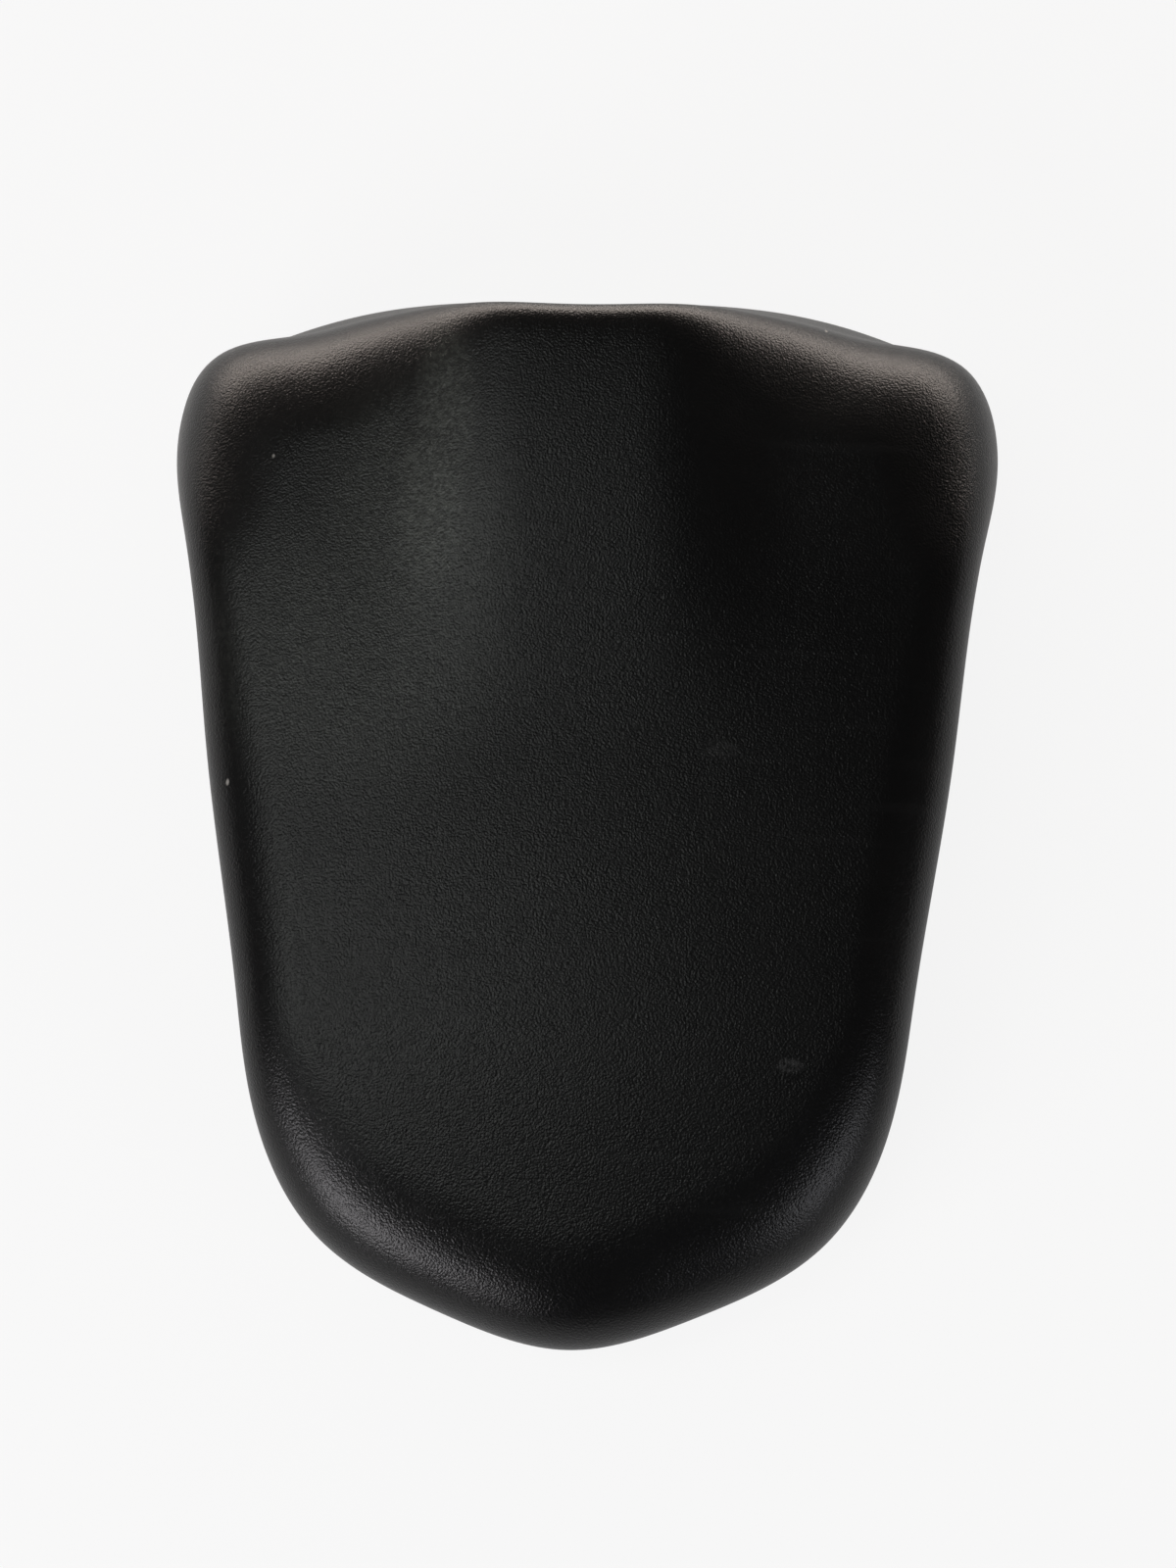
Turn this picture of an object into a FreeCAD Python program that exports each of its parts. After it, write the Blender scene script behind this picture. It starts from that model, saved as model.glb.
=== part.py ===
import FreeCAD, Part

import math
import os

V = FreeCAD.Vector

# Motorcycle pillion seat, mm. +Y is the front of the machine, +Z is up, the bumpers stand on z = 0
# and the origin is under the middle of the length and width.

# Plan outline: half widths, and distances forward from the tail tip or back from the front lip
seat_length = 332.0
seat_width = 257.0
tail_flank_half = 38.0
tail_flank_setback = 10.2
tail_corner_half = 76.8
tail_corner_setback = 33.2
hip_half = 91.6
hip_setback = 57.0
flank_half = 101.6
flank_setback = 104.0
waist_half = 113.2
waist_setback = 176.0
shoulder_half = 122.6
shoulder_setback = 88.5
widest_setback = 48.0
front_corner_half = 120.0
front_corner_setback = 24.6
lip_end_half = 98.0
lip_end_setback = 12.8
lip_half = 63.5
lip_setback = 1.4
outline_points = 40

# Cushion form
deck_height = 62.0
deck_pitch = 0.045
crown_drop = 8.0
tail_fall = 5.0
tail_fall_setback = 96.0
hump_rise = 9.0
hump_setback = 161.0
hump_crest_setback = 26.0
hump_flat_half = 12.0
hump_flank = 42.0

# Rolled edge of the deck: how far in it starts, and how far down it drops
side_roll = 19.0
side_drop = 16.0
tail_roll = 28.0
tail_drop = 21.0
tail_roll_setback = 96.0
tail_roll_length = 60.0
shoulder_roll = 46.0
shoulder_drop = 36.0
shoulder_roll_setback = 101.0
shoulder_roll_length = 75.0
crest_roll = 9.0
crest_half = 15.0
crest_fade = 95.0
roll_bands = 3

# Walls below the rolled edge, and the turned-in hem
front_rake = 21.5
shoulder_rake = 10.0
front_face_half = 120.0
front_face_fade = 32.0
front_face_setback = 71.0
front_face_turn = 35.0
side_tuck = 3.5
hem_height = 6.0
hem_fold = 4.5

# Grid of points that the deck surface runs through, wider than the seat by the margin
deck_steps = 12
deck_margin = 25.0

# Cover
cover_thickness = 1.2
hem_reach = 21.0

# Moulded base
rim_thickness = 3.0
rim_land = 25.0
wall_thickness = 2.6
wall_draft = 2.5
plateau_height = 28.0
plate_thickness = 2.8
rib_thickness = 2.2
rib_depth = 8.5
rib_column_pitch = 30.0
rib_row_count = 5
rib_front_setback = 74.0
rib_rear_setback = 86.0

# Front hooks, moulded with the base
hook_offset = 46.0
hook_width = 22.0
hook_setback = 60.0
hook_leg_thickness = 5.0
hook_reach = 14.0
hook_foot_thickness = 4.5
hook_foot_bottom = 4.0
hook_corner = 3.0

# Rubber bumpers
front_bumper_inset = 54.5
front_bumper_setback = 80.0
rear_bumper_inset = 43.6
rear_bumper_setback = 78.0
bumper_radius = 11.0
bumper_height = 10.0
stem_radius = 4.2
bulb_radius = 6.2
bulb_height = 4.0
stem_clearance = 0.2
cup_radius = 14.5
cup_floor = 2.5

# Rear striker: a bent steel strap, held by two bolts, nuts and a backing plate
striker_setback = 54.0
strap_depth = 16.0
strap_thickness = 3.0
strap_bend = 3.0
loop_width = 24.0
loop_bottom = 4.0
foot_length = 19.0
bolt_radius = 3.0
bolt_clearance = 0.3
thread_clearance = 0.05
bolt_flats = 10.0
bolt_head_height = 4.0
nut_height = 5.0
thread_stand_out = 1.5
backing_margin = 8.0
backing_thickness = 1.5
pocket_margin = 3.0

# How far bodies that are joined or cut run into each other
overlap = 0.5

front_lip = seat_length / 2
tail_tip = -front_lip
hook_leg_y = front_lip - hook_setback
striker_y = tail_tip + striker_setback
clear_top = 2 * deck_height
rim_bottom = hem_height + cover_thickness
rim_top = rim_bottom + rim_thickness
ceiling = plateau_height - plate_thickness


def smoothstep(t):
    t = min(1.0, max(0.0, t))
    return t * t * (3.0 - 2.0 * t)


def blend(a, b, t):
    return a + (b - a) * t


def closed_curve(points):
    curve = Part.BSplineCurve()
    curve.interpolate(Points=points, PeriodicFlag=True)
    return curve


def plan_points():
    """Points evenly spaced round the seat's plan outline, starting at the tail tip."""
    right = [
        V(tail_flank_half, tail_tip + tail_flank_setback, 0),
        V(tail_corner_half, tail_tip + tail_corner_setback, 0),
        V(hip_half, tail_tip + hip_setback, 0),
        V(flank_half, tail_tip + flank_setback, 0),
        V(waist_half, tail_tip + waist_setback, 0),
        V(shoulder_half, front_lip - shoulder_setback, 0),
        V(seat_width / 2, front_lip - widest_setback, 0),
        V(front_corner_half, front_lip - front_corner_setback, 0),
        V(lip_end_half, front_lip - lip_end_setback, 0),
        V(lip_half, front_lip - lip_setback, 0),
    ]
    left = [V(-p.x, p.y, 0) for p in reversed(right)]
    curve = closed_curve([V(0, tail_tip, 0)] + right + [V(0, front_lip, 0)] + left)
    return curve.discretize(Number=outline_points + 1)[:-1]


PLAN = plan_points()


def inset_point(p, inset, z=0.0):
    """The plan point moved towards the middle of the seat by the inset."""
    k = 1.0 - inset / math.hypot(p.x, p.y)
    return V(p.x * k, p.y * k, z)


def inset_wire(inset, z):
    return Part.Wire([closed_curve([inset_point(p, inset, z) for p in PLAN]).toShape()])


def inset_prism(inset_low, z_low, inset_high, z_high):
    return Part.makeLoft([inset_wire(inset_low, z_low), inset_wire(inset_high, z_high)], True, True)


def hump_across(x):
    return 1.0 - smoothstep((abs(x) - hump_flat_half) / hump_flank)


def deck(x, y):
    """Height of the sitting surface before its edges are rolled over."""
    crown = crown_drop * (2.0 * x / seat_width) ** 2
    climb = (y - front_lip + hump_setback) / (hump_setback - hump_crest_setback)
    hump = hump_rise * smoothstep(climb) * hump_across(x)
    fall = tail_fall * smoothstep((tail_tip + tail_fall_setback - y) / tail_fall_setback)
    return deck_height + deck_pitch * y - crown + hump - fall


def edge_roll(p, crest):
    """Reach inwards and drop of the rolled edge at a plan point; the crest of the hump rolls tightest."""
    tail = smoothstep((tail_tip + tail_roll_setback - p.y) / tail_roll_length)
    shoulder = smoothstep((p.y - front_lip + shoulder_roll_setback) / shoulder_roll_length)
    roll = blend(blend(side_roll, tail_roll, tail), shoulder_roll, shoulder)
    drop = blend(blend(side_drop, tail_drop, tail), shoulder_drop, shoulder)
    return blend(roll, crest_roll, crest), blend(drop, crest_roll, crest)


def cushion_section(p, depth):
    """One section of the cushion, from the hem up the wall and over the edge, at a depth in its skin."""
    face = smoothstep((front_face_half - abs(p.x)) / front_face_fade)
    face *= smoothstep((p.y - front_lip + front_face_setback) / front_face_turn)
    crest = face * (1.0 - smoothstep((abs(p.x) - crest_half) / crest_fade))
    roll, drop = [size - depth for size in edge_roll(p, crest)]
    lip = side_tuck * (1.0 - face) + depth
    wall = face * blend(shoulder_rake, front_rake, crest) + depth
    fold = hem_fold - depth
    hem = hem_height + depth

    points = [inset_point(p, lip + fold, hem), inset_point(p, lip, hem + fold)]
    step = math.radians(90.0 / roll_bands)
    for k in range(roll_bands):
        q = inset_point(p, wall + roll * (1.0 - math.cos(k * step)))
        points.append(V(q.x, q.y, deck(q.x, q.y) - depth - drop * (1.0 - math.sin(k * step))))
    # the last band runs on as far above the deck as it started below, so that the deck cuts it
    q = inset_point(p, wall + roll * (1.0 + math.cos((roll_bands - 1) * step)))
    points.append(V(q.x, q.y, deck(q.x, q.y) - depth + drop * (1.0 - math.sin((roll_bands - 1) * step))))
    points.append(V(q.x, q.y, clear_top))
    return points


def deck_block(depth):
    """Everything below the sitting surface, cut off square well outside the seat."""
    x_step = (seat_width + 2 * deck_margin) / deck_steps
    y_step = (seat_length + 2 * deck_margin) / deck_steps
    grid = []
    for i in range(deck_steps + 1):
        x = (i - deck_steps / 2) * x_step
        row = []
        for j in range(deck_steps + 1):
            y = (j - deck_steps / 2) * y_step
            row.append(V(x, y, deck(x, y) - depth))
        grid.append(row)
    surface = Part.BSplineSurface()
    surface.interpolate(grid)
    return surface.toShape().extrude(V(0, 0, -clear_top))


def cushion_solid(depth):
    """The cushion's whole form: its banded sides, cut off by the sitting surface."""
    sections = [cushion_section(p, depth) for p in PLAN]
    wires = [Part.Wire([closed_curve(list(ring)).toShape()]) for ring in zip(*sections)]
    return Part.makeLoft(wires, True, True).common(deck_block(depth))


def rounded_face(corners):
    """Flat face with rounded corners, from (point, radius) pairs in order."""
    edges = []
    ends = []
    count = len(corners)
    for i, (b, radius) in enumerate(corners):
        if radius == 0:
            ends.append((b, b))
            continue
        u = (corners[i - 1][0] - b).normalize()
        w = (corners[(i + 1) % count][0] - b).normalize()
        half = u.getAngle(w) / 2
        middle = (u + w).normalize()
        start = b + u * (radius / math.tan(half))
        stop = b + w * (radius / math.tan(half))
        edges.append(Part.Arc(start, b + middle * (radius / math.sin(half) - radius), stop).toShape())
        ends.append((start, stop))
    for i in range(count):
        edges.append(Part.makeLine(ends[i - 1][1], ends[i][0]))
    return Part.Face(Part.Wire(Part.__sortEdges__(edges)))


def slab(z_low, z_high):
    size = 2.0 * seat_length
    return Part.makeBox(size, size, z_high - z_low, V(-size / 2, -size / 2, z_low))


def cylinder(x, y, z_low, z_high, radius):
    return Part.makeCylinder(radius, z_high - z_low, V(x, y, z_low))


def hexagon(x, y, z_low, flats, height):
    reach = flats / math.sqrt(3.0)
    corners = []
    for k in range(7):
        a = k * math.pi / 3
        corners.append(V(x + reach * math.cos(a), y + reach * math.sin(a), z_low))
    return Part.Face(Part.makePolygon(corners)).extrude(V(0, 0, height))


def bumper_places():
    front_x = seat_width / 2 - front_bumper_inset
    front_y = front_lip - front_bumper_setback
    rear_x = hip_half - rear_bumper_inset
    rear_y = tail_tip + rear_bumper_setback
    return [(-front_x, front_y), (front_x, front_y), (-rear_x, rear_y), (rear_x, rear_y)]


def rib_rows():
    front = front_lip - rib_front_setback
    rear = tail_tip + rib_rear_setback
    pitch = (front - rear) / (rib_row_count - 1)
    return [front - k * pitch for k in range(rib_row_count)]


def bolt_places():
    x = loop_width / 2 + strap_thickness + foot_length / 2
    return [(-x, striker_y), (x, striker_y)]


def plateau(z_low, extra):
    """The raised middle of the base: its outer form, or its hollow when drawn smaller by the extra."""
    top = plateau_height if extra == 0 else ceiling
    slope = wall_draft / (plateau_height - rim_bottom)
    low = rim_land + extra + slope * (z_low - rim_bottom)
    high = rim_land + extra + slope * (top - rim_bottom)
    return inset_prism(low, z_low, high, top)


def make_cover(outer, inner):
    opening = inset_prism(hem_reach, hem_height - overlap, hem_reach, rim_bottom)
    return outer.cut(inner).cut(opening)


def make_foam(inner):
    nut_top = plateau_height + backing_thickness + nut_height + thread_stand_out
    half_x = bolt_places()[1][0] + backing_margin + pocket_margin
    half_y = strap_depth / 2 + pocket_margin
    low = V(-half_x, striker_y - half_y, ceiling)
    pocket = Part.makeBox(2 * half_x, 2 * half_y, nut_top + pocket_margin - ceiling, low)
    return inner.cut(slab(0, rim_top)).cut(plateau(rim_bottom, 0)).cut(pocket)


def hook(x):
    """One L-shaped hook: a leg down from the base and a foot pointing forward."""
    back = hook_leg_y
    front = hook_leg_y + hook_leg_thickness
    tip = front + hook_reach
    low = hook_foot_bottom
    high = hook_foot_bottom + hook_foot_thickness
    side = x - hook_width / 2
    corners = [
        (V(side, back, ceiling + overlap), 0),
        (V(side, back, low), hook_corner),
        (V(side, tip, low), hook_corner),
        (V(side, tip, high), 0),
        (V(side, front, high), hook_corner),
        (V(side, front, ceiling + overlap), 0),
    ]
    return rounded_face(corners).extrude(V(hook_width, 0, 0))


def base_ribs(limit):
    """Crossed ribs under the plateau, and one behind each hook, kept inside the limit."""
    low = ceiling - rib_depth
    height = rib_depth + overlap
    half = rib_thickness / 2
    rows = rib_rows()
    front = rows[0]
    rear = rows[-1]
    ribs = []
    for y in rows:
        ribs.append(Part.makeBox(seat_width, rib_thickness, height, V(-seat_width / 2, y - half, low)))
    for x in (-rib_column_pitch, 0.0, rib_column_pitch):
        ribs.append(Part.makeBox(rib_thickness, front - rear, height, V(x - half, rear, low)))
    for x in (-hook_offset, hook_offset):
        run = hook_leg_y + overlap - front
        ribs.append(Part.makeBox(rib_thickness, run, height, V(x - half, front, low)))
    return ribs[0].multiFuse(ribs[1:]).common(limit)


def make_base(inner):
    body = inner.common(slab(0, rim_top)).fuse(plateau(rim_bottom, 0)).cut(plateau(0.0, wall_thickness))
    added = [base_ribs(plateau(rim_bottom, wall_thickness / 2)), hook(-hook_offset), hook(hook_offset)]
    cut = []
    for x, y in bumper_places():
        added.append(cylinder(x, y, bumper_height, ceiling + overlap, cup_radius))
        cut.append(cylinder(x, y, bumper_height + cup_floor, plateau_height, cup_radius - wall_thickness))
        cut.append(cylinder(x, y, bumper_height, bumper_height + cup_floor, stem_radius + stem_clearance))
    for x, y in bolt_places():
        cut.append(cylinder(x, y, ceiling, plateau_height, bolt_radius + bolt_clearance))
    return body.multiFuse(added).cut(cut)


def make_bumpers():
    """Four rubber bumpers: a thick pad, a stem through the cup floor and a bulb that holds it there."""
    grip = bumper_height + cup_floor
    bumpers = []
    for x, y in bumper_places():
        pad = cylinder(x, y, 0, bumper_height, bumper_radius)
        stem = cylinder(x, y, bumper_height, grip, stem_radius)
        bulb = cylinder(x, y, grip, grip + bulb_height, bulb_radius)
        bumpers.append(pad.multiFuse([stem, bulb]))
    return Part.makeCompound(bumpers)


def make_striker_bracket():
    """Steel strap bent to a loop for the latch, with a foot on each side for its bolt."""
    inner = loop_width / 2
    outer = inner + strap_thickness
    end = outer + foot_length
    foot_low = ceiling - strap_thickness
    y = striker_y - strap_depth / 2
    wide = strap_bend + strap_thickness
    right = [
        (V(outer, y, loop_bottom), wide),
        (V(outer, y, foot_low), strap_bend),
        (V(end, y, foot_low), 0),
        (V(end, y, ceiling), 0),
        (V(inner, y, ceiling), wide),
        (V(inner, y, loop_bottom + strap_thickness), strap_bend),
    ]
    left = [(V(-p.x, p.y, p.z), radius) for p, radius in reversed(right)]
    strap = rounded_face(right + left).extrude(V(0, strap_depth, 0))
    top = ceiling + overlap
    holes = [cylinder(px, py, 0, top, bolt_radius + bolt_clearance) for px, py in bolt_places()]
    return strap.cut(holes)


def make_striker_bolts():
    bolts = []
    seat = ceiling - strap_thickness
    end = plateau_height + backing_thickness + nut_height + thread_stand_out
    for x, y in bolt_places():
        head = hexagon(x, y, seat - bolt_head_height, bolt_flats, bolt_head_height)
        bolts.append(head.fuse(cylinder(x, y, seat, end, bolt_radius)))
    return Part.makeCompound(bolts)


def make_backing_plate():
    half_x = bolt_places()[1][0] + backing_margin
    low = V(-half_x, striker_y - strap_depth / 2, plateau_height)
    plate = Part.makeBox(2 * half_x, strap_depth, backing_thickness, low)
    top = plateau_height + backing_thickness
    holes = [cylinder(x, y, ceiling, top, bolt_radius + bolt_clearance) for x, y in bolt_places()]
    return plate.cut(holes)


def make_striker_nuts():
    nuts = []
    low = plateau_height + backing_thickness
    for x, y in bolt_places():
        block = hexagon(x, y, low, bolt_flats, nut_height)
        nuts.append(block.cut(cylinder(x, y, low, low + nut_height, bolt_radius + thread_clearance)))
    return Part.makeCompound(nuts)


def main():
    os.makedirs("parts", exist_ok=True)
    outer = cushion_solid(0.0)
    inner = cushion_solid(cover_thickness)
    parts = {
        "seat_cover": make_cover(outer, inner),
        "foam_cushion": make_foam(inner),
        "seat_base": make_base(inner),
        "striker_bracket": make_striker_bracket(),
        "striker_bolts": make_striker_bolts(),
        "striker_backing_plate": make_backing_plate(),
        "striker_nuts": make_striker_nuts(),
        "rubber_bumpers": make_bumpers(),
    }
    for name, shape in parts.items():
        shape.exportStep("parts/" + name + ".step")


main()
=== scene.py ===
import math
import random

import bmesh
import bpy
import numpy as np
from mathutils import Matrix, Vector


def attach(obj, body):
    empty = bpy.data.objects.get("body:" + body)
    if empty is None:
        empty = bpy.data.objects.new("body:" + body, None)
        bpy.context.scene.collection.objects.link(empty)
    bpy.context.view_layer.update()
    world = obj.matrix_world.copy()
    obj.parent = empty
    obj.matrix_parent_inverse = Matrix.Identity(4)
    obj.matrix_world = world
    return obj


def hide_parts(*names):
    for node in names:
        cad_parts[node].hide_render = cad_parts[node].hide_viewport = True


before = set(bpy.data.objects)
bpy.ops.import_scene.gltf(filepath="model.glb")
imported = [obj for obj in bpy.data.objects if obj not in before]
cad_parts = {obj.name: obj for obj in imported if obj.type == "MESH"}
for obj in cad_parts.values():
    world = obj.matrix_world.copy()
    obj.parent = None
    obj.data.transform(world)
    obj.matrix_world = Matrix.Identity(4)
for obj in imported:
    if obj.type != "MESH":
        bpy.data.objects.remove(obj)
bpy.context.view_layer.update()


# Seat base: one injection moulding in black polypropylene, with a ribbed underside, four bumper
# cups and two hooks at the front. Its faces have a spark-eroded grain, with thin rubbed streaks
# and a little dust from the tail frame.

def add(tree, kind, settings=None, **sockets):
    """A new node, with its settings, and its inputs set to a value or joined to another output.
    An input is named by its socket, or by its number as at0, at1 and so on."""
    made = tree.nodes.new(kind)
    for key, value in (settings or {}).items():
        setattr(made, key, value)
    for key, value in sockets.items():
        numbered = key.startswith("at") and key[2:].isdigit()
        place = int(key[2:]) if numbered else key.replace("_", " ")
        if isinstance(value, bpy.types.NodeSocket):
            tree.links.new(value, made.inputs[place])
        else:
            made.inputs[place].default_value = value
    return made


def math_node(tree, operation, first, second):
    return add(tree, "ShaderNodeMath", {"operation": operation}, at0=first, at1=second).outputs[0]


def scaled(tree, value, gain, least=0.0):
    """A mask or a cloud times its gain, on top of the least value."""
    settings = {"operation": "MULTIPLY_ADD"}
    return add(tree, "ShaderNodeMath", settings, at0=value, at1=gain, at2=least).outputs[0]


def mask_between(tree, value, low, high):
    """Nought at low, one at high, and a soft step between them."""
    settings = {"interpolation_type": "SMOOTHSTEP"}
    return add(tree, "ShaderNodeMapRange", settings, Value=value, From_Min=low,
               From_Max=high).outputs[0]


def mix_colours(tree, factor, first, second):
    settings = {"data_type": "RGBA", "clamp_factor": True}
    return add(tree, "ShaderNodeMix", settings, at0=factor, at6=first, at7=second).outputs[2]


def layered(tree, cloud, shades, layers):
    """A colour that drifts between two shades with the cloud, under layers of (mask, share, colour)."""
    colour = mix_colours(tree, cloud, *shades)
    for mask, share, tint in layers:
        colour = mix_colours(tree, scaled(tree, mask, share), colour, tint)
    return colour


def new_finish(name):
    """An empty material: its node tree, its Principled shader and the place on the part."""
    finish = bpy.data.materials.new(name)
    finish.use_nodes = True
    shader = finish.node_tree.nodes["Principled BSDF"]
    place = add(finish.node_tree, "ShaderNodeTexCoord").outputs["Object"]
    return finish, finish.node_tree, shader, place


def join_finish(tree, shader, colour, roughness, height, relief):
    """Joins a colour, a roughness and a grain of that relief, in metres, to the shader."""
    bump = add(tree, "ShaderNodeBump", Height=height, Distance=relief, Strength=1.0)
    tree.links.new(colour, shader.inputs["Base Color"])
    tree.links.new(roughness, shader.inputs["Roughness"])
    tree.links.new(bump.outputs[0], shader.inputs["Normal"])


def new_effect(name, inputs, outputs):
    """An empty shader group with named sockets: the group and its two end nodes."""
    group = bpy.data.node_groups.new(name, "ShaderNodeTree")
    group.interface.new_socket("Place", in_out="INPUT", socket_type="NodeSocketVector")
    for socket in inputs:
        group.interface.new_socket(socket, in_out="INPUT", socket_type="NodeSocketFloat")
    for socket in outputs:
        group.interface.new_socket(socket, in_out="OUTPUT", socket_type="NodeSocketFloat")
    return group, group.nodes.new("NodeGroupInput"), group.nodes.new("NodeGroupOutput")


def place_effect(tree, group, place, **sockets):
    return add(tree, "ShaderNodeGroup", {"node_tree": group}, Place=place, **sockets).outputs


def dress(node, finish):
    node.data.materials.clear()
    node.data.materials.append(finish)


# pebbles of the grain, and the slow unevenness that every moulded or coated surface has
pebble_grain, inside, outside = new_effect("pebble_grain", ["Cells", "Drift"], ["Height", "Cloud"])
cells = add(pebble_grain, "ShaderNodeTexVoronoi", {"feature": "SMOOTH_F1"},
            Vector=inside.outputs["Place"], Scale=inside.outputs["Cells"], Smoothness=0.6)
crumbs = add(pebble_grain, "ShaderNodeTexNoise", Vector=inside.outputs["Place"],
             Scale=inside.outputs["Cells"], Detail=2.0)
cloud = add(pebble_grain, "ShaderNodeTexNoise", Vector=inside.outputs["Place"],
            Scale=inside.outputs["Drift"], Detail=4.0, Roughness=0.6)
height = math_node(pebble_grain, "SUBTRACT", crumbs.outputs["Fac"], cells.outputs["Distance"])
pebble_grain.links.new(height, outside.inputs["Height"])
pebble_grain.links.new(cloud.outputs["Fac"], outside.inputs["Cloud"])

# thin streaks of rubbing, and the dust that settles in specks
rubbed_from, rubbed_full = 0.6, 0.75
largest_speck = 0.055
wear_marks, inside, outside = new_effect("wear_marks", ["Streaks", "Specks", "Share"],
                                         ["Rubbed", "Dust"])
stretch = add(wear_marks, "ShaderNodeMapping", Vector=inside.outputs["Place"],
              Rotation=(0.3, 0.5, 0.9), Scale=(1.0, 14.0, 3.0))
streak = add(wear_marks, "ShaderNodeTexNoise", Vector=stretch.outputs[0],
             Scale=inside.outputs["Streaks"], Detail=3.0)
rubbed = mask_between(wear_marks, streak.outputs["Fac"], rubbed_from, rubbed_full)
wear_marks.links.new(rubbed, outside.inputs["Rubbed"])
speck = add(wear_marks, "ShaderNodeTexVoronoi", Vector=inside.outputs["Place"],
            Scale=inside.outputs["Specks"])
lot = add(wear_marks, "ShaderNodeSeparateColor", Color=speck.outputs["Color"])
radius = math_node(wear_marks, "MULTIPLY", lot.outputs["Green"], largest_speck)
near = math_node(wear_marks, "LESS_THAN", speck.outputs["Distance"], radius)
chosen = math_node(wear_marks, "LESS_THAN", lot.outputs["Red"], inside.outputs["Share"])
wear_marks.links.new(math_node(wear_marks, "MULTIPLY", near, chosen), outside.inputs["Dust"])


def worn_finish(name, grain_sizes, wear_sizes, shades, rubbed, dusted, roughness, relief):
    """A cloudy, grained finish with rubbed streaks and specks of dust. rubbed and dusted are each a
    share and a colour, and roughness is its least value and what the cloud adds to it."""
    finish, tree, shader, place = new_finish(name)
    grain = place_effect(tree, pebble_grain, place, **grain_sizes)
    wear = place_effect(tree, wear_marks, place, **wear_sizes)
    layers = ((wear["Rubbed"], *rubbed), (wear["Dust"], *dusted))
    colour = layered(tree, grain["Cloud"], shades, layers)
    least, gain = roughness
    gloss = scaled(tree, grain["Cloud"], gain, least)
    join_finish(tree, shader, colour, gloss, grain["Height"], relief)
    return finish, shader


base_finish, _ = worn_finish(
    "moulded_black_plastic",
    grain_sizes={"Cells": 1400.0, "Drift": 30.0},
    wear_sizes={"Streaks": 18.0, "Specks": 90.0, "Share": 0.12},
    shades=((0.010, 0.010, 0.011, 1), (0.017, 0.017, 0.018, 1)),
    rubbed=(0.35, (0.05, 0.05, 0.05, 1)),
    dusted=(0.5, (0.3, 0.28, 0.25, 1)),
    roughness=(0.42, 0.25),
    relief=0.00012,
)
dress(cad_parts["seat_base"], base_finish)


# Bumpers: four rubber buttons that carry the seat on the tail frame. Each is moulded in one piece
# with a stem and a bulb, and is pulled through the floor of its cup until the bulb holds it.

rubber_finish, shader = worn_finish(
    "moulded_rubber",
    grain_sizes={"Cells": 2200.0, "Drift": 120.0},
    wear_sizes={"Streaks": 60.0, "Specks": 160.0, "Share": 0.2},
    shades=((0.012, 0.012, 0.012, 1), (0.028, 0.027, 0.026, 1)),
    rubbed=(0.5, (0.07, 0.068, 0.064, 1)),
    dusted=(0.6, (0.25, 0.23, 0.2, 1)),
    roughness=(0.66, 0.2),
    relief=0.00005,
)
shader.inputs["Specular IOR Level"].default_value = 0.4
dress(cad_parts["rubber_bumpers"], rubber_finish)


# Striker: a steel strap bent to a loop for the seat latch. Two bolts, a backing plate above the
# base and two nuts clamp it there. All of it is zinc plated, with a dull, cloudy passivation.

zinc_finish, shader = worn_finish(
    "zinc_plated_steel",
    grain_sizes={"Cells": 900.0, "Drift": 140.0},
    wear_sizes={"Streaks": 90.0, "Specks": 220.0, "Share": 0.15},
    shades=((0.44, 0.45, 0.46, 1), (0.66, 0.65, 0.61, 1)),
    rubbed=(0.4, (0.75, 0.75, 0.74, 1)),
    dusted=(0.5, (0.2, 0.17, 0.14, 1)),
    roughness=(0.24, 0.3),
    relief=0.00003,
)
shader.inputs["Metallic"].default_value = 1.0
for name in ("striker_bracket", "striker_bolts", "striker_backing_plate", "striker_nuts"):
    dress(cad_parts[name], zinc_finish)


# Foam: one moulded polyurethane block that gives the seat its form. It lies on the base's rim and
# over the raised middle, with a pocket above the striker's nuts, and the cover holds it there.

# sizes are in mm from here on; a start is a place ahead of the middle of the seat's length
MM = 0.001
half_width = 128.5
half_length = 166.0

# plan outline of the right half: half width, distance forward from the middle of the length
half_outline = np.array([
    (38.0, -155.8), (76.8, -132.8), (91.6, -109.0), (101.6, -62.0), (113.2, 10.0), (122.6, 77.5),
    (half_width, 118.0), (120.0, 141.4), (98.0, 154.6), (63.5, 164.4),
])
tail_tip = np.array([(0.0, -half_length)])
front_lip = np.array([(0.0, half_length)])
spline_steps = 4000

# the deck: its height at the middle, its rise per mm forward, and its fall from the middle to a side
deck_height = 62.0
deck_pitch = 0.045
side_fall = 8.0

# the hump: its rise and the length of its climb, then half its flat top and a flank, measured across
hump_rise = 9.0
hump_start = 5.0
hump_climb = 135.0
hump_flat = 16.0
hump_flank = 54.0

# the tail: its fall, and the lengths over which the deck falls and the edge rolls wider
tail_fall = 5.0
tail_start = -70.0
tail_fall_length = 96.0
tail_roll_length = 60.0

# the rolled edge, as its reach inward and its drop: at the sides, tail, shoulders and hump's crest
side_edge = (19.0, 16.0)
tail_edge = (28.0, 21.0)
shoulder_edge = (46.0, 36.0)
crest_edge = (9.0, 9.0)
shoulder_start = 65.0
shoulder_length = 62.0

# the front face: where it starts and turns from the sides, and the middle of it below the crest
face_half = 128.0
face_fade = 40.0
face_start = 95.0
face_turn = 35.0
crest_half = 22.0
crest_fade = 90.0

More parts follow.
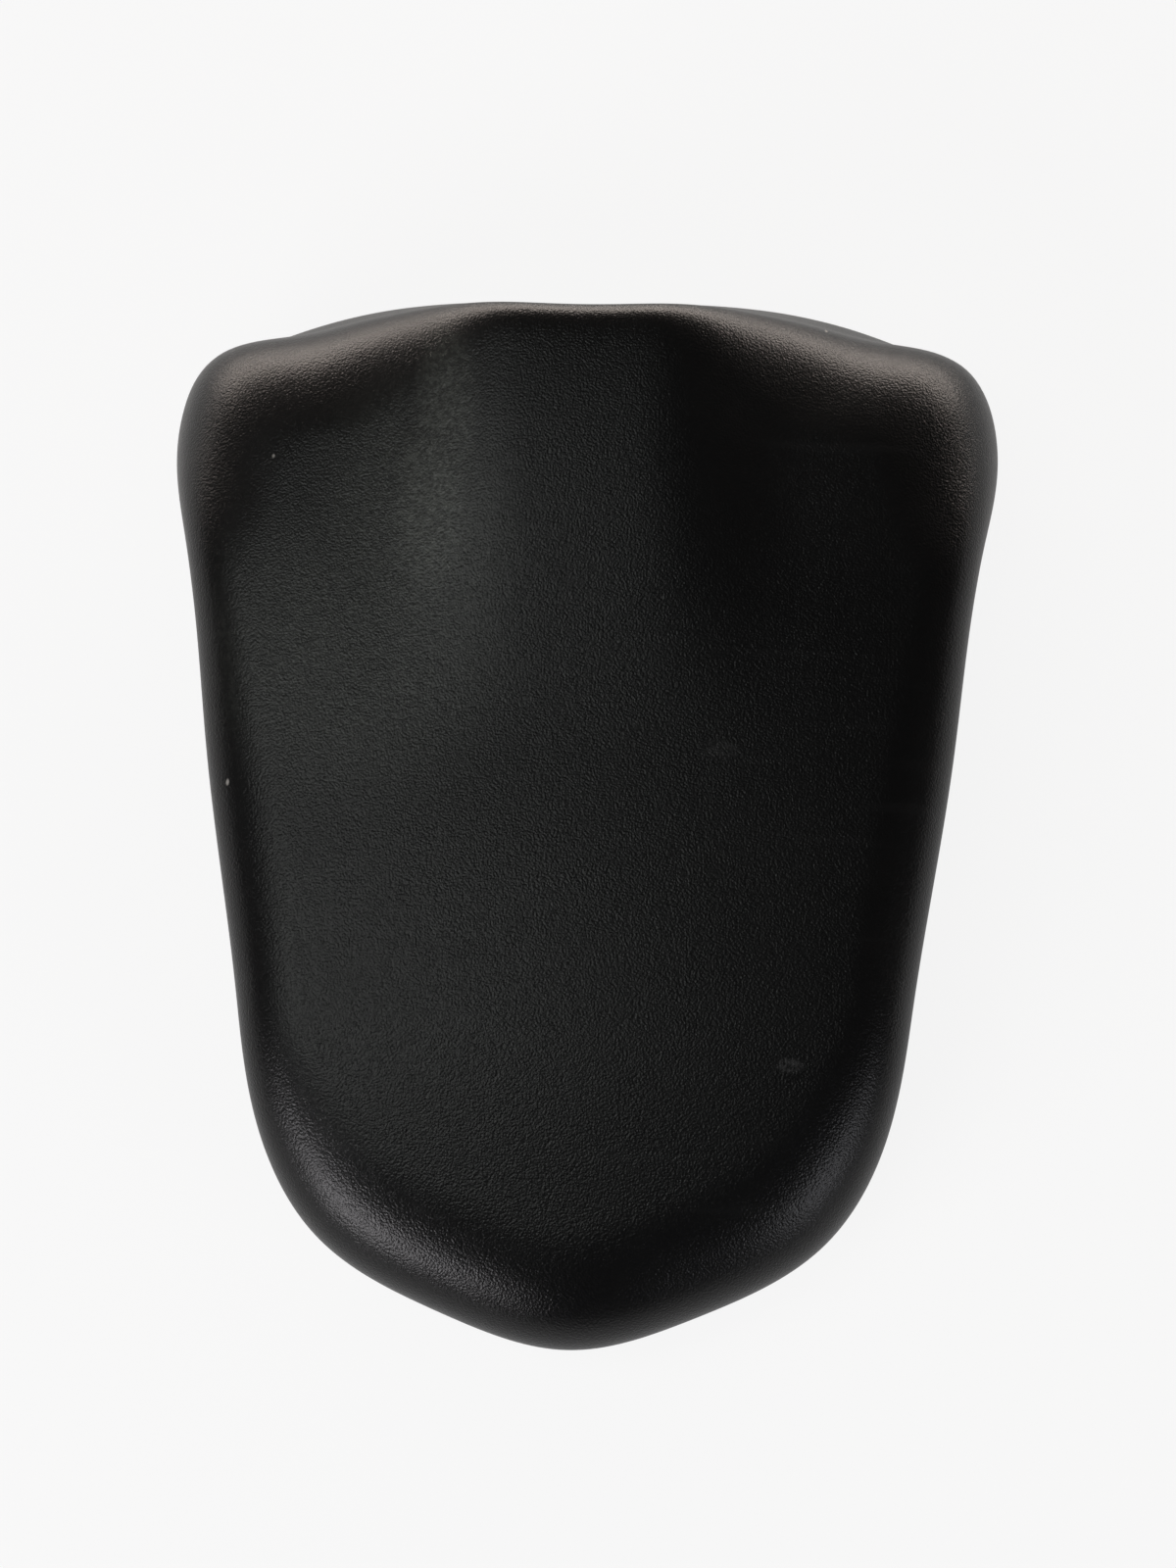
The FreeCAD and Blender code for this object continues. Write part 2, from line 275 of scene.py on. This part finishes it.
# the walls: the tuck of the sides and the flare of the front lip at the hem, the rake of the front
# face below the shoulders and below the crest, and the hem's height and the size of its fold, with
# the shares of it that the fold's two rings turn in and rise
side_tuck = 3.5
lip_flare = 0.6
shoulder_rake = 10.0
crest_rake = 21.5
hem_height = 6.0
hem_fold = 4.5
fold_turn_in = 0.6
fold_rise = 0.5

# rows of the mesh: part of the way up the wall, round the rolled edge and inward on the deck
columns = 112
wall_rows = (0.3, 0.65)
roll_angles = (0.0, 30.0, 60.0, 90.0)
deck_rows = (0.94, 0.88)


def smoothstep(t):
    t = np.clip(t, 0.0, 1.0)
    return t * t * (3.0 - 2.0 * t)


def smootherstep(t):
    t = np.clip(t, 0.0, 1.0)
    return t ** 3 * (10.0 - 15.0 * t + 6.0 * t * t)


def blend(a, b, t):
    return a + (b - a) * t


def closed_spline(points):
    """Smooth closed curve through the points, as a function of the distance along their chords."""
    count = len(points)
    step = np.linalg.norm(np.roll(points, -1, 0) - points, axis=1)
    back = np.roll(step, 1)
    slopes = (np.roll(points, -1, 0) - points) / step[:, None]
    system = np.zeros((count, count))
    for i in range(count):
        system[i, i - 1] += back[i]
        system[i, i] += 2.0 * (back[i] + step[i])
        system[i, (i + 1) % count] += step[i]
    bend = np.linalg.solve(system, 6.0 * (slopes - np.roll(slopes, 1, 0)))
    ends = np.cumsum(step)

    def at(distance):
        i = np.searchsorted(ends, distance, side="right") % count
        t = (distance - (ends[i] - step[i]))[:, None]
        h = step[i][:, None]
        first, second = points[i], points[(i + 1) % count]
        m0, m1 = bend[i], bend[(i + 1) % count]
        rise = (second - first) / h - h * (2.0 * m0 + m1) / 6.0
        return first + rise * t + m0 * t ** 2 / 2.0 + (m1 - m0) / (6.0 * h) * t ** 3

    return at, ends[-1]


def even_outline(count):
    """Points evenly spaced round the plan outline, from the tail tip along the right side."""
    left = half_outline[::-1] * np.array([-1.0, 1.0])
    at, length = closed_spline(np.vstack([tail_tip, half_outline, front_lip, left]))
    fine = at(np.linspace(0.0, length, spline_steps, endpoint=False))
    steps = np.linalg.norm(np.roll(fine, -1, 0) - fine, axis=1)
    run = np.concatenate([[0.0], np.cumsum(steps)])
    looped = np.vstack([fine, fine[:1]])
    even = np.linspace(0.0, run[-1], count, endpoint=False)
    return np.column_stack([np.interp(even, run, looped[:, k]) for k in (0, 1)])


def deck(x, y):
    """Height of the sitting surface before its edges are rolled over."""
    across = 1.0 - smootherstep((np.abs(x) - hump_flat) / hump_flank)
    hump = hump_rise * smoothstep((y - hump_start) / hump_climb) * across
    fall = tail_fall * smoothstep((tail_start - y) / tail_fall_length)
    return deck_height + deck_pitch * y - side_fall * (x / half_width) ** 2 + hump - fall


def cushion_rows(outline, depth):
    """Rings of the cushion's form at a depth in its skin, from the fold of the hem to the deck."""
    x, y = outline.T
    reach = np.hypot(x, y)

    def ring(inset, z):
        k = 1.0 - inset / reach
        return np.column_stack([x * k, y * k, z + 0.0 * x])

    face = smoothstep((face_half - np.abs(x)) / face_fade)
    face = face * smoothstep((y - face_start) / face_turn)
    shoulder = smoothstep((y - shoulder_start) / shoulder_length)
    crest = face * (1.0 - smoothstep((np.abs(x) - crest_half) / crest_fade))
    tail = smoothstep((tail_start - y) / tail_roll_length)
    edge_sizes = []
    for at_side, at_tail, at_shoulder, at_crest in zip(side_edge, tail_edge, shoulder_edge, crest_edge):
        size = blend(blend(at_side, at_tail, tail), at_shoulder, shoulder)
        edge_sizes.append(blend(size, at_crest, crest) - depth)
    roll, drop = edge_sizes
    lip = blend(side_tuck, -lip_flare, face) + depth
    wall = face * blend(shoulder_rake, crest_rake, crest) + depth
    fold = hem_fold - depth
    hem = hem_height + depth
    edge = ring(wall, 0.0)
    top = deck(edge[:, 0], edge[:, 1]) - depth - drop
    rows = [ring(lip + fold_turn_in * fold, hem), ring(lip, hem + fold_rise * fold)]
    for t in wall_rows:
        rows.append(ring(blend(lip, wall, t), blend(hem + fold, top, t)))
    for angle in roll_angles:
        turn = math.radians(angle)
        q = ring(wall + roll * (1.0 - math.cos(turn)), 0.0)
        q[:, 2] = deck(q[:, 0], q[:, 1]) - depth - drop * (1.0 - math.sin(turn))
        rows.append(q)
    deck_edge = rows[-1]
    for k in deck_rows:
        q = deck_edge * k
        q[:, 2] = deck(q[:, 0], q[:, 1]) - depth
        rows.append(q)
    return rows


def new_piece(name, data):
    piece = bpy.data.objects.new(name, data)
    bpy.context.scene.collection.objects.link(piece)
    return piece


def cap_net(ring, first, points, height_at, upward):
    """Squares of a four-sided net inside a ring, whose points are numbered from first. The points
    of the net are added to the list, each between the ring's four sides and at its own height."""
    count = len(ring)
    side = count // 4
    start = count - side // 2
    low = [(start + i) % count for i in range(side + 1)]
    right = [(start + side + i) % count for i in range(side + 1)]
    high = [(start + 3 * side - i) % count for i in range(side + 1)]
    left = [(start + 4 * side - i) % count for i in range(side + 1)]
    net = {}
    for i in range(side + 1):
        net[i, 0], net[i, side] = first + low[i], first + high[i]
        net[0, i], net[side, i] = first + left[i], first + right[i]
    for i in range(1, side):
        for j in range(1, side):
            u, v = i / side, j / side
            p = (1 - v) * ring[low[i]] + v * ring[high[i]]
            p = p + (1 - u) * ring[left[j]] + u * ring[right[j]]
            p = p - (1 - u) * (1 - v) * ring[low[0]] - u * (1 - v) * ring[low[side]]
            p = p - (1 - u) * v * ring[high[0]] - u * v * ring[high[side]]
            net[i, j] = len(points)
            points.append((p[0], p[1], height_at(p[0], p[1])))
    squares = []
    for i in range(side):
        for j in range(side):
            square = (net[i, j], net[i + 1, j], net[i + 1, j + 1], net[i, j + 1])
            squares.append(square if upward else square[::-1])
    return squares


def ring_mesh(name, rows, caps):
    """A piece of rings, each joined to the next, with a net of squares over each cap. caps maps a
    row's number to the height of the net at its plan place, and to whether the net faces up."""
    count = len(rows[0])
    points = [tuple(p) for row in rows for p in row]
    faces = []
    for r in range(len(rows) - 1):
        for c in range(count):
            d = (c + 1) % count
            faces.append((r * count + c, r * count + d, (r + 1) * count + d, (r + 1) * count + c))
    for r, (height_at, upward) in caps.items():
        faces += cap_net(rows[r], r * count, points, height_at, upward)
    mesh = bpy.data.meshes.new(name)
    mesh.from_pydata([tuple(MM * v for v in p) for p in points], [], faces)
    mesh.update()
    return new_piece(name, mesh)


def settle(piece):
    """Applies the modifiers of a piece to its mesh, with smooth shading."""
    bpy.context.view_layer.update()
    evaluated = piece.evaluated_get(bpy.context.evaluated_depsgraph_get())
    mesh = bpy.data.meshes.new_from_object(evaluated)
    piece.modifiers.clear()
    piece.data = mesh
    for polygon in mesh.polygons:
        polygon.use_smooth = True


# the outline is moved out a little, so that the rounded mesh runs through it and not inside it
outline = even_outline(columns)
outline = outline - (np.roll(outline, 1, 0) + np.roll(outline, -1, 0) - 2.0 * outline) / 6.0


def flat_ring(inset, z):
    k = (1.0 - inset / np.hypot(*outline.T))[:, None]
    return np.column_stack([outline * k, np.full(len(outline), z)])


# where the foam lies on the base, as insets and heights: the raised middle, the rim and its edge
foam_depth = 1.4
plateau_top = 28.2
foam_seat = [(28.4, plateau_top), (27.6, 27.6), (25.2, 10.9), (24.6, 10.4), (7.0, 10.4), (5.2, 10.6)]
foam_rows = [flat_ring(inset, z) for inset, z in foam_seat] + cushion_rows(outline, foam_depth)[2:]
foam = ring_mesh("foam_block", foam_rows, {
    0: (lambda x, y: plateau_top, False),
    len(foam_rows) - 1: (lambda x, y: deck(x, y) - foam_depth, True),
})
foam.modifiers.new("round", "SUBSURF").levels = 1

# the pocket above the striker's nuts
pocket_size = Vector((71.0, 22.0, 12.0)) * MM
pocket_middle = Vector((0.0, -112.0, 33.0)) * MM
pocket_place = Matrix.Translation(pocket_middle) @ Matrix.Diagonal((*pocket_size, 1.0))
block = bmesh.new()
bmesh.ops.create_cube(block, size=1.0, matrix=pocket_place)
pocket_mesh = bpy.data.meshes.new("pocket")
block.to_mesh(pocket_mesh)
block.free()
pocket = new_piece("pocket", pocket_mesh)
cut = foam.modifiers.new("pocket", "BOOLEAN")
cut.object = pocket
cut.operation = "DIFFERENCE"
settle(foam)
bpy.data.objects.remove(pocket)

foam_shades = ((0.62, 0.52, 0.30, 1), (0.78, 0.70, 0.48, 1))
foam_roughness, foam_roughness_gain = 0.85, 0.1
foam_relief = 0.0006
foam_finish, tree, shader, place = new_finish("moulded_foam")
grain = place_effect(tree, pebble_grain, place, Cells=1100.0, Drift=45.0)
colour = mix_colours(tree, grain["Cloud"], *foam_shades)
rough = scaled(tree, grain["Cloud"], foam_roughness_gain, foam_roughness)
join_finish(tree, shader, colour, rough, grain["Height"], foam_relief)
dress(foam, foam_finish)
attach(foam, "root")
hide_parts("foam_cushion")


# Cover: one panel of matt black, fine-grained vinyl, warmed and stretched over the foam with no
# seam. Its hem is turned under the rim of the base, gathered at the corners and stapled there.

cover_thickness = 1.2
hem_insets = (21.0, 15.5, 10.5)
cover_rows = [flat_ring(inset, hem_height) for inset in hem_insets] + cushion_rows(outline, 0.0)
cover = ring_mesh("seat_cover_vinyl", cover_rows, {len(cover_rows) - 1: (deck, True)})
cover.modifiers.new("stretch", "SUBSURF").levels = 2
settle(cover)

# the outline in small steps: the distance along it, its heading, its bearing from the middle, and
# how far the hem gathers, by how sharply it bends there, in radians per mm
outline_steps = 720
bend_window = 25
gather_start = 0.006
gather_range = 0.012
fine_outline = even_outline(outline_steps)
ahead = np.roll(fine_outline, -1, 0) - fine_outline
run = np.linalg.norm(ahead, axis=1).sum() * np.arange(outline_steps) / outline_steps
perimeter = run[1] * outline_steps
heading = np.unwrap(np.arctan2(ahead[:, 1], ahead[:, 0]))
bearing = np.unwrap(np.arctan2(fine_outline[:, 1], fine_outline[:, 0]))
bend = np.abs(np.gradient(heading)) / run[1]
bend = np.convolve(np.tile(bend, 3), np.ones(bend_window) / bend_window, "same")
gather = smoothstep((bend[outline_steps:2 * outline_steps] - gather_start) / gather_range)

# the staples, by their distance along the outline, each a little off its even place
staple_count = 38
staple_inset = 14.0
staple_scatter = 0.12
order = random.Random(7)
staples = []
for k in range(staple_count):
    even_place = k + 0.5 + order.uniform(-staple_scatter, staple_scatter)
    staples.append(even_place / staple_count * perimeter)

# the points of the cover: each one's distance along the outline and its inset from it
count = len(cover.data.vertices)
co = np.empty(count * 3)
cover.data.vertices.foreach_get("co", co)
co = co.reshape(-1, 3) / MM
turn = np.arctan2(co[:, 1], co[:, 0])
turn = np.where(turn < bearing[0], turn + 2.0 * np.pi, turn)
along = np.interp(turn, bearing, run)
inset = np.interp(turn, bearing, np.hypot(*fine_outline.T)) - np.hypot(co[:, 0], co[:, 1])

# the gathers hang below the hem in uneven waves, and each staple presses them flat about itself
hem_side_top = 9.0
hem_side_fade = 2.5
gather_inset = 6.5
gather_inset_fade = 9.0
pressed_along = 6.0
pressed_across = 4.5
pressed_share = 0.9
slack = 0.35
gather_height = 1.5
gather_pitch = 11.0
gather_drift = 0.9
gather_drift_waves = 18.0
under = smoothstep((hem_side_top - co[:, 2]) / hem_side_fade)
under = under * smoothstep((inset - gather_inset) / gather_inset_fade)
held = np.zeros(count)
for s in staples:
    gap = (along - s + perimeter / 2.0) % perimeter - perimeter / 2.0
    pressed = np.exp(-(gap / pressed_along) ** 2)
    held = np.maximum(held, pressed * np.exp(-((inset - staple_inset) / pressed_across) ** 2))
lap = 2.0 * np.pi * along / perimeter
waves = lap * round(perimeter / gather_pitch) + gather_drift * np.sin(lap * gather_drift_waves)
fold = np.maximum(0.0, np.cos(waves)) ** 2
hang = slack + gather_height * np.interp(along, run, gather) * fold
co[:, 2] -= under * hang * (1.0 - pressed_share * held)
cover.data.vertices.foreach_set("co", (co * MM).ravel())
cover.data.update()
thick = cover.modifiers.new("thickness", "SOLIDIFY")
thick.thickness = cover_thickness * MM
thick.offset = -1.0
settle(cover)

# one soft-edged mark on the seat's upper side: its place in plan, its half width and half length
upper_side_from, upper_side_full = 0.020, 0.030
soft_mark, inside, outside = new_effect("soft_mark", ["Across", "Ahead", "Width", "Length"], ["Mask"])
plan = add(soft_mark, "ShaderNodeSeparateXYZ", Vector=inside.outputs["Place"])
offs = []
for axis, middle, half in (("X", "Across", "Width"), ("Y", "Ahead", "Length")):
    off = math_node(soft_mark, "SUBTRACT", plan.outputs[axis], inside.outputs[middle])
    off = math_node(soft_mark, "DIVIDE", off, inside.outputs[half])
    offs.append(math_node(soft_mark, "MULTIPLY", off, off))
near = mask_between(soft_mark, math_node(soft_mark, "ADD", *offs), 1.0, 0.0)
near = math_node(soft_mark, "MULTIPLY", near, near)
upper_side = mask_between(soft_mark, plan.outputs["Z"], upper_side_from, upper_side_full)
soft_mark.links.new(math_node(soft_mark, "MULTIPLY", near, upper_side), outside.inputs["Mask"])


def marks(tree, place, spots):
    """Mask of several soft marks, each (across, ahead, half width, half length, share)."""
    mask = 0.0
    for across, ahead, width, length, share in spots:
        spot = place_effect(tree, soft_mark, place, Across=across, Ahead=ahead, Width=width,
                            Length=length)
        mask = math_node(tree, "MAXIMUM", scaled(tree, spot["Mask"], share), mask)
    return mask


# marks, in metres: a painted highlight of the ceiling lamp, speckled with painted glints, on the hump's
# left flank where the vinyl is also a little smoother; scuffs, one dull spot and dust
polish_and_highlight_spots = [
    (-0.0415, 0.106, 0.015, 0.044, 0.65), (-0.0455, 0.080, 0.020, 0.044, 0.85),
    (-0.052, 0.070, 0.044, 0.072, 0.42), (-0.066, 0.040, 0.064, 0.064, 0.38),
]
scuffed_spots = [(0.0634, -0.0838, 0.006, 0.003, 0.6), (0.0423, 0.0089, 0.008, 0.004, 0.3)]
dulled_spots = [(0.0283, -0.0227, 0.0016, 0.0013, 1.0)]
dust_spots = [
    (-0.1043, -0.0011, 0.0008, 0.0014, 1.0), (-0.0934, 0.0978, 0.0007, 0.0009, 0.8),
    (0.0735, 0.1445, 0.0007, 0.0010, 1.0),
]
vinyl_shades = ((0.0028, 0.0028, 0.0030, 1), (0.0045, 0.0045, 0.0046, 1))
rubbed_share, rubbed_colour = 0.10, (0.03, 0.03, 0.03, 1)
# the painted highlight's share and colour: a pale reflection of the ceiling lamp painted into the
# vinyl's colour
painted_highlight_share, painted_highlight_colour = 0.8, (0.085, 0.091, 0.082, 1)
scuffed_share, scuffed_colour = 1.0, (0.05, 0.05, 0.05, 1)
dust_share, dust_colour = 0.8, (0.35, 0.34, 0.32, 1)
glint_from, glint_full = 0.4, 0.66
glint_least, glint_gain = 0.4, 0.75
scuff_from, scuff_full = 0.35, 0.6
vinyl_roughness, vinyl_roughness_gain = 0.25, 0.12
polish_smooths = 0.04
vinyl_relief = 0.0001
cover_finish, tree, shader, place = new_finish("grained_black_vinyl")
grain = place_effect(tree, pebble_grain, place, Cells=1500.0, Drift=14.0)
mottle = place_effect(tree, pebble_grain, place, Cells=700.0, Drift=650.0)
wear = place_effect(tree, wear_marks, place, Streaks=9.0, Specks=42.0, Share=0.04)
# painted glints that speckle the painted highlight on the hump's flank, where the vinyl is also a
# little smoother
glints = mask_between(tree, mottle["Cloud"], glint_from, glint_full)
glints = scaled(tree, glints, glint_gain, glint_least)
polish_and_highlight = math_node(tree, "MULTIPLY", marks(tree, place, polish_and_highlight_spots), glints)
scuffed = mask_between(tree, mottle["Cloud"], scuff_from, scuff_full)
scuffed = math_node(tree, "MULTIPLY", marks(tree, place, scuffed_spots), scuffed)
dust = math_node(tree, "MAXIMUM", marks(tree, place, dust_spots), wear["Dust"])
# layers over the vinyl: rubbed streaks, the painted highlight on the hump's flank, scuffs and dust
colour = layered(tree, grain["Cloud"], vinyl_shades, (
    (wear["Rubbed"], rubbed_share, rubbed_colour),
    (polish_and_highlight, painted_highlight_share, painted_highlight_colour),
    (scuffed, scuffed_share, scuffed_colour),
    (dust, dust_share, dust_colour),
))
rough = scaled(tree, grain["Cloud"], vinyl_roughness_gain, vinyl_roughness)
rough = math_node(tree, "SUBTRACT", rough, scaled(tree, polish_and_highlight, polish_smooths))
rough = math_node(tree, "MAXIMUM", rough, marks(tree, place, dulled_spots))
join_finish(tree, shader, colour, rough, grain["Height"], vinyl_relief)
shader.inputs["Specular IOR Level"].default_value = 0.3
dress(cover, cover_finish)
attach(cover, "root")
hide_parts("seat_cover")


# Staples: flat steel wire, zinc plated and bent to a wide crown with two legs. They are shot through
# the hem into the rim of the base all round, each a little askew, and press the vinyl flat.

half_crown = 5.0
wire_width = 1.2
wire_thickness = 0.6
wire_rounding = 0.12
sharpest_rounded = 60.0
stand_off = 0.25
staple_skew = 0.12

# bent wire, from one leg over the crown to the other: across, and upward into the base
leg_end = (half_crown, 3.2)
corner = [(half_crown - 0.7, 0.0), (half_crown - 0.25, 0.1), (half_crown, 0.5)]
half_wire = corner + [leg_end]
wire = [(-u, w) for u, w in reversed(half_wire)] + half_wire
hem_points = co[co[:, 2] <= hem_side_top]
bm = bmesh.new()
for s in staples:
    p = np.array([np.interp(s, run, fine_outline[:, k]) for k in (0, 1)])
    angle = np.interp(s, run, heading) + order.uniform(-staple_skew, staple_skew)
    p = p * (1.0 - staple_inset / np.hypot(*p))
    near = np.argmin((hem_points[:, 0] - p[0]) ** 2 + (hem_points[:, 1] - p[1]) ** 2)
    on_hem = Matrix.Translation(Vector((p[0], p[1], hem_points[near, 2])) * MM)
    on_hem = on_hem @ Matrix.Rotation(angle, 4, "Z")
    rings = []
    for i, (u, w) in enumerate(wire):
        before = Vector(wire[max(i - 1, 0)])
        after = Vector(wire[min(i + 1, len(wire) - 1)])
        way = (after - before).normalized()
        out = Vector((way.y, -way.x)) * wire_thickness / 2
        ring = []
        for k, v in ((1, -1), (1, 1), (-1, 1), (-1, -1)):
            q = Vector((u, w)) + out * k
            corner_point = Vector((q.x, v * wire_width / 2, q.y - stand_off)) * MM
            ring.append(bm.verts.new(on_hem @ corner_point))
        rings.append(ring)
    for first, second in zip(rings, rings[1:]):
        for k in range(4):
            bm.faces.new((first[k], first[(k + 1) % 4], second[(k + 1) % 4], second[k]))
    bm.faces.new(rings[0][::-1])
    bm.faces.new(rings[-1])
bmesh.ops.recalc_face_normals(bm, faces=bm.faces)
staple_mesh = bpy.data.meshes.new("hem_staples")
bm.to_mesh(staple_mesh)
bm.free()
hem_staples = new_piece("hem_staples", staple_mesh)
rounding = hem_staples.modifiers.new("rounding", "BEVEL")
rounding.width = wire_rounding * MM
rounding.segments = 2
rounding.limit_method = "ANGLE"
rounding.angle_limit = math.radians(sharpest_rounded)
settle(hem_staples)
dress(hem_staples, zinc_finish)
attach(hem_staples, "root")


# Setting: a plain white sheet that the seat lies on, a soft lamp overhead to the left, a wide low one
# ahead with a lit patch of the sheet before it, and a weak one behind each rear corner. The camera is
# above the seat's tail, looking down and a little forward.

# the sheet glows near white to the camera, and more weakly in a gloss; the rest of it is plain white
# and takes the seat's shadow
white = (1.0, 1.0, 1.0, 1)
sheet_colour = (0.86, 0.86, 0.86, 1)
sheet_roughness = 0.9
sheet_reach = 6.0
glow_share = 0.88
gloss_share = 0.4
corners = ((-1, -1), (1, -1), (1, 1), (-1, 1))
sheet_corners = [(sheet_reach * x, sheet_reach * y, 0.0) for x, y in corners]
floor_mesh = bpy.data.meshes.new("floor")
floor_mesh.from_pydata(sheet_corners, [], [(0, 1, 2, 3)])
floor = new_piece("floor", floor_mesh)
floor_finish, tree, shader, _ = new_finish("white_sheet")
shader.inputs["Base Color"].default_value = sheet_colour
shader.inputs["Roughness"].default_value = sheet_roughness
glow = add(tree, "ShaderNodeEmission", Color=white, Strength=1.0)
rays = add(tree, "ShaderNodeLightPath").outputs
mirrored = scaled(tree, rays["Is Glossy Ray"], gloss_share)
shown = math_node(tree, "MAXIMUM", rays["Is Camera Ray"], mirrored)
shown = math_node(tree, "MAXIMUM", shown, rays["Is Transmission Ray"])
sheet = add(tree, "ShaderNodeMixShader", at0=scaled(tree, shown, glow_share), at1=shader.outputs[0],
            at2=glow.outputs[0])
tree.links.new(sheet.outputs[0], tree.nodes["Material Output"].inputs["Surface"])
dress(floor, floor_finish)

# the room: white to the camera, and a weak even light on the seat
room_strength = 0.03
world = bpy.data.worlds.new("studio")
bpy.context.scene.world = world
world.use_nodes = True
tree = world.node_tree
air = tree.nodes["Background"]
air.inputs["Color"].default_value = white
air.inputs["Strength"].default_value = room_strength
sky = add(tree, "ShaderNodeBackground", Color=white, Strength=1.0)
rays = add(tree, "ShaderNodeLightPath").outputs
room = add(tree, "ShaderNodeMixShader", at0=rays["Is Camera Ray"], at1=air.outputs[0],
           at2=sky.outputs[0])
tree.links.new(room.outputs[0], tree.nodes["World Output"].inputs["Surface"])


def soft_light(name, place, aim, size, watts, colour, spread=180.0):
    lamp = bpy.data.lights.new(name, "AREA")
    lamp.color = colour
    lamp.spread = math.radians(spread)
    lamp.shape = "RECTANGLE"
    lamp.size, lamp.size_y = size
    lamp.energy = watts
    light = new_piece(name, lamp)
    light.location = place
    light.rotation_euler = (Vector(aim) - Vector(place)).to_track_quat("-Z", "Y").to_euler()


soft_light("ceiling", place=(-0.73, -0.02, 1.86), aim=(0.0, 0.0, 0.05), size=(0.5, 1.3), watts=6.9,
           colour=(0.97, 1.0, 0.97))
soft_light("front", place=(0.0, 1.8, 0.25), aim=(0.0, 0.1, 0.05), size=(5.0, 0.48), watts=64.0,
           colour=(1.0, 0.88, 0.80))
soft_light("sheet_ahead", place=(0.0, 0.58, 0.3), aim=(0.0, 0.58, 0.0), size=(2.6, 0.5), watts=20.0,
           colour=(1.0, 0.9, 0.82), spread=20.0)
soft_light("rear_left", place=(-1.15, -1.2, 0.72), aim=(0.0, -0.1, 0.05), size=(1.0, 0.5), watts=16.0,
           colour=(1.0, 0.97, 1.0))
soft_light("rear_right", place=(1.3, -1.0, 0.70), aim=(0.0, -0.1, 0.05), size=(0.7, 0.5), watts=5.0,
           colour=(0.95, 0.95, 1.0))

# the camera: its angles, the point it looks at, and its lens and shift in pixels of a tall picture
elevation = math.radians(78.0)
lean = math.radians(1.5)
roll = math.radians(1.2)
target = Vector((0.0, -0.011, 0.042))
camera_distance = 1.0
nearest_seen = 0.01
picture_height = 1600.0
focal_pixels = 3404.0
shift_pixels = (11.0, 44.0)
film_width = 36.0
back = Vector((math.sin(lean), -math.cos(lean) * math.cos(elevation),
               math.cos(lean) * math.sin(elevation)))
across = (-back).cross(Vector((0.0, 1.0, 0.0))).normalized()
upward = across.cross(-back)
right = across * math.cos(roll) + upward * math.sin(roll)
above = upward * math.cos(roll) - across * math.sin(roll)
camera_data = bpy.data.cameras.new("camera")
camera_data.sensor_width = film_width
camera_data.lens = film_width * focal_pixels / picture_height
camera_data.shift_x, camera_data.shift_y = (p / picture_height for p in shift_pixels)
camera_data.clip_start = nearest_seen
camera = new_piece("camera", camera_data)
camera_place = Matrix((right, above, back)).transposed().to_4x4()
camera_place.translation = target + back * camera_distance
camera.matrix_world = camera_place
bpy.context.scene.camera = camera

bpy.context.scene.view_settings.view_transform = "Standard"
